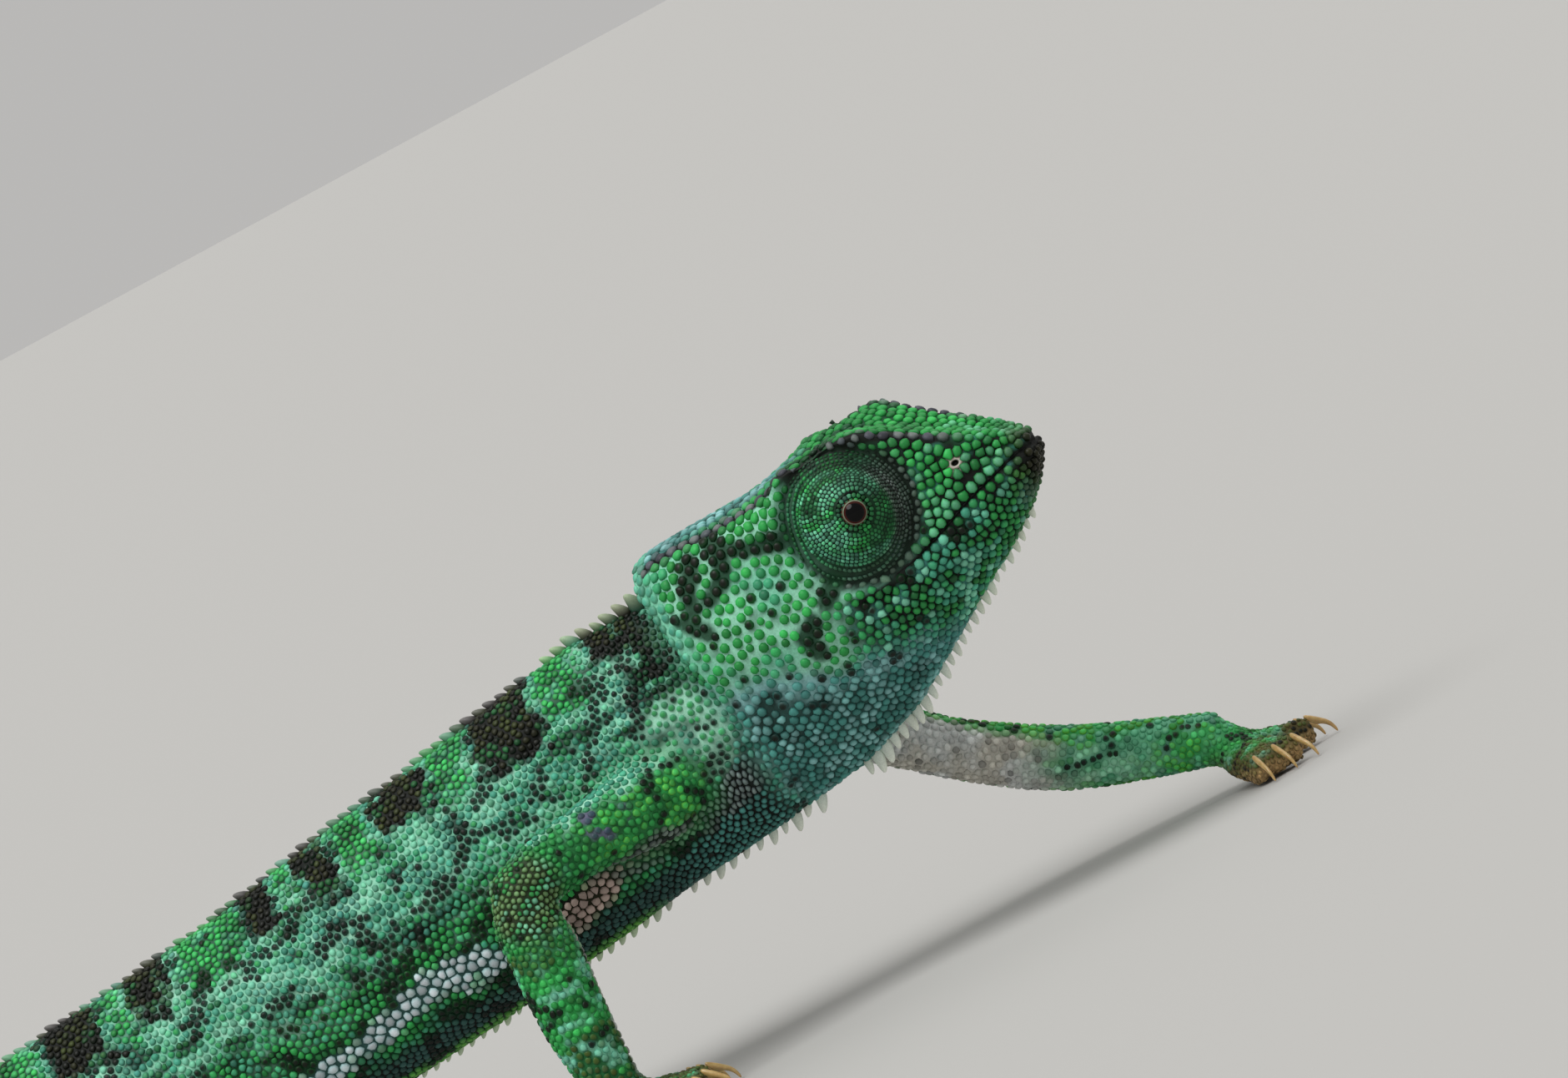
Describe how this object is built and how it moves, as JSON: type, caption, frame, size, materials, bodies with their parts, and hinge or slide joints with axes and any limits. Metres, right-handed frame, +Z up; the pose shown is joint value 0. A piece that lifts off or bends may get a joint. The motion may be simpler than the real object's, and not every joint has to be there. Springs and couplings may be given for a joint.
{
  "type": "chameleon model",
  "caption": "Life-size still model of a green scaly chameleon in mid-step, head raised and turned a little, curled tail, standing on its gripping feet.",
  "frame": {"origin": "on the floor under the middle of the whole animal's box, at the level of the soles", "axes": "+X forward along the body, +Y to the animal's left, +Z up"},
  "size_m": [0.2168, 0.0434, 0.0474],
  "materials": {
    "skin": "scaly reptile skin, satin, in greens and teal with dark blotches",
    "eye": "wet, glossy, black with a red-brown ring",
    "claw": "smooth horn, translucent golden brown"
  },
  "bodies": {
    "root": {"head": "skin", "lower_jaw": "skin", "throat": "skin", "neck": "skin", "trunk_front": "skin", "trunk_middle": "skin", "trunk_rear": "skin", "tail_base": "skin", "tail_middle": "skin", "tail_coil_outer": "skin", "tail_coil_inner": "skin", "eye_turret_left": "skin", "eye_turret_right": "skin", "upper_arm_left": "skin", "upper_arm_right": "skin", "forearm_left": "skin", "forearm_right": "skin", "thigh_left": "skin", "thigh_right": "skin", "shin_left": "skin", "shin_right": "skin", "hand_inner_left": "skin", "hand_inner_right": "skin", "hand_outer_left": "skin", "hand_outer_right": "skin", "foot_inner_left": "skin", "foot_inner_right": "skin", "foot_outer_left": "skin", "foot_outer_right": "skin", "eyeball_left": "eye", "eyeball_right": "eye", "claw_hand_left_1": "claw", "claw_hand_left_2": "claw", "claw_hand_left_3": "claw", "claw_hand_left_4": "claw", "claw_hand_left_5": "claw", "claw_hand_right_1": "claw", "claw_hand_right_2": "claw", "claw_hand_right_3": "claw", "claw_hand_right_4": "claw", "claw_hand_right_5": "claw", "claw_foot_left_1": "claw", "claw_foot_left_2": "claw", "claw_foot_left_3": "claw", "claw_foot_left_4": "claw", "claw_foot_left_5": "claw", "claw_foot_right_1": "claw", "claw_foot_right_2": "claw", "claw_foot_right_3": "claw", "claw_foot_right_4": "claw", "claw_foot_right_5": "claw"}
  },
  "joints": []
}
